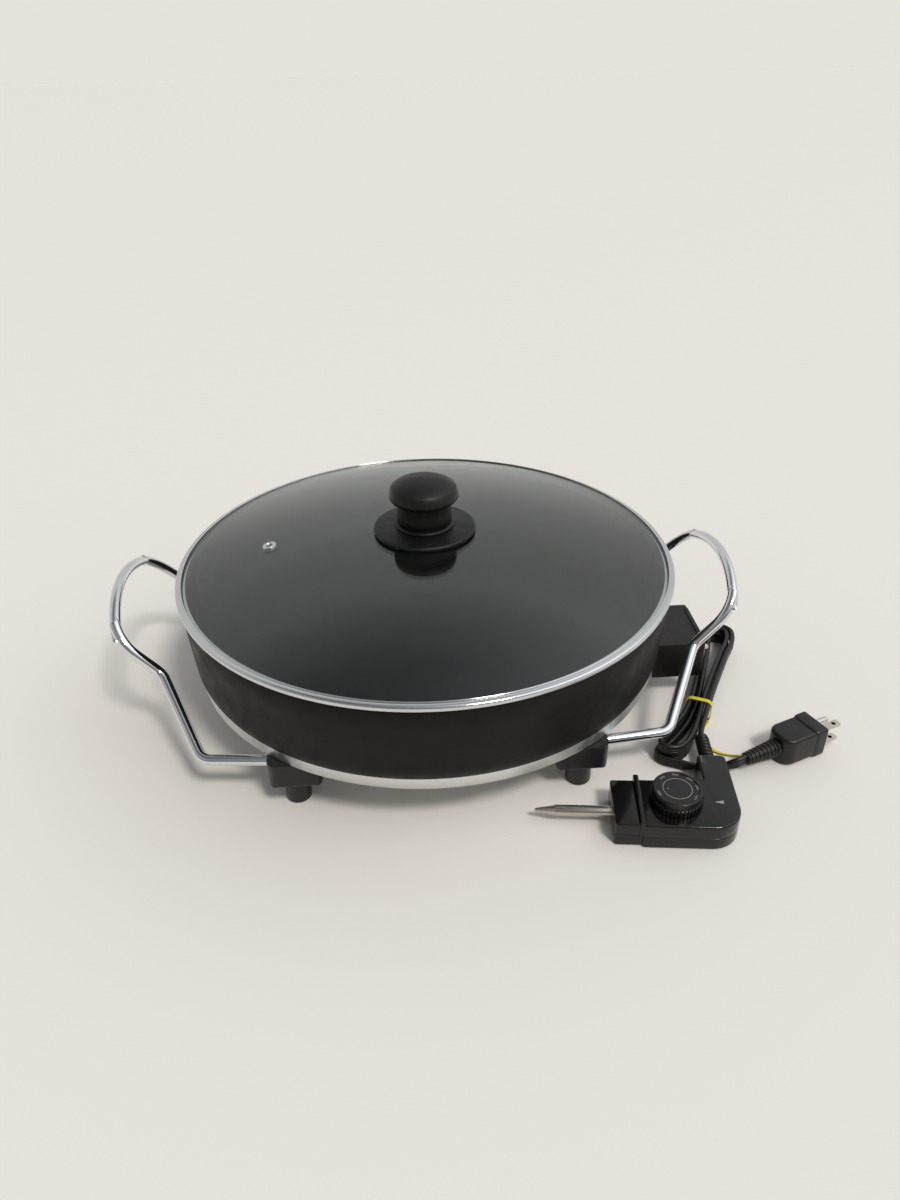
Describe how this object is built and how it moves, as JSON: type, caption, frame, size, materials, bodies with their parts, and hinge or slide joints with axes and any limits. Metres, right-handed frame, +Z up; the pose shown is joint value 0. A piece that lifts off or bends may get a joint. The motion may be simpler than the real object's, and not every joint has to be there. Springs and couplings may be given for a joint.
{
  "type": "electric skillet",
  "caption": "Round cast electric skillet on feet with wire side handles, a domed glass lid with knob, and a plug-in probe heat control with tied flat cord.",
  "frame": {"origin": "on the table, on the pan's vertical axis", "axes": "+Z up along the pan's axis, +X towards the heater socket and the right handle, -Y towards the front"},
  "size_m": [0.5495, 0.4016, 0.1796],
  "materials": {
    "nonstick_coat": "charcoal non-stick coat on cast aluminium, bare machined base band",
    "element_sheath": "oxidised steel sheath of the element",
    "nickel_contacts": "nickel-plated pins, blades and contacts",
    "ceramic": "off-white glazed ceramic",
    "phenolic": "black moulded phenolic",
    "foot_phenolic": "dark grey moulded phenolic, slightly satin",
    "zinc_screws": "zinc-plated steel",
    "chrome_wire": "chromed steel wire, mirror finish",
    "tempered_glass": "clear tempered glass",
    "lid_steel": "polished stainless steel strip",
    "knob_phenolic": "black phenolic, satin",
    "silicone": "translucent silicone",
    "control_gloss": "glossy black moulded plastic",
    "probe_steel": "brushed stainless steel",
    "brass_clip": "brass spring contact",
    "dial_plastic": "black plastic, satin, printed scale",
    "cord_rubber": "black rubber cord and moulded plug",
    "tie_strip": "yellow plastic-coated tie strip"
  },
  "bodies": {
    "pan": {"pan_body": "nonstick_coat", "probe_boss": "nonstick_coat", "heating_element": "element_sheath", "terminal_pins": "nickel_contacts", "terminal_insulators": "ceramic", "socket_guard": "phenolic", "guard_screws": "zinc_screws", "foot_front_left": "foot_phenolic", "foot_front_right": "foot_phenolic", "foot_rear_left": "foot_phenolic", "foot_rear_right": "foot_phenolic", "clamp_front_left": "foot_phenolic", "clamp_front_right": "foot_phenolic", "clamp_rear_left": "foot_phenolic", "clamp_rear_right": "foot_phenolic", "foot_screws": "zinc_screws", "handle_left": "chrome_wire", "handle_right": "chrome_wire"},
    "lid": {"lid_glass": "tempered_glass", "lid_band": "lid_steel", "vent_eyelet": "lid_steel", "lid_knob": "knob_phenolic", "knob_disc": "knob_phenolic", "knob_gasket": "silicone", "knob_screw": "zinc_screws"},
    "control": {"control_top": "control_gloss", "control_base": "control_gloss", "control_screws": "zinc_screws", "temperature_probe": "probe_steel", "terminal_clips": "brass_clip", "thermostat_frame": "zinc_screws", "thermostat_blade": "brass_clip", "cord_relief": "cord_rubber", "cord_lead_in": "cord_rubber", "cord_hank": "cord_rubber", "cord_lead_out": "cord_rubber", "cord_tie": "tie_strip", "plug_relief": "cord_rubber", "plug_body": "cord_rubber", "plug_blades": "nickel_contacts", "ground_pin": "nickel_contacts"},
    "dial": {"dial": "dial_plastic", "dial_shaft": "zinc_screws"}
  },
  "joints": [
    {"name": "lid_lift", "type": "slide", "parent": "pan", "child": "lid", "axis": [0, 0, 1], "range_m": [0, 0.12]},
    {"name": "control_pull", "type": "slide", "parent": "pan", "child": "control", "axis": [0, -1, 0], "range_m": [0, 0.08]},
    {"name": "dial_turn", "type": "hinge", "parent": "control", "child": "dial", "pos_m": [0.15588, -0.18462, 0.02], "axis": [0, 0, 1], "range_deg": [-270, 0]}
  ]
}
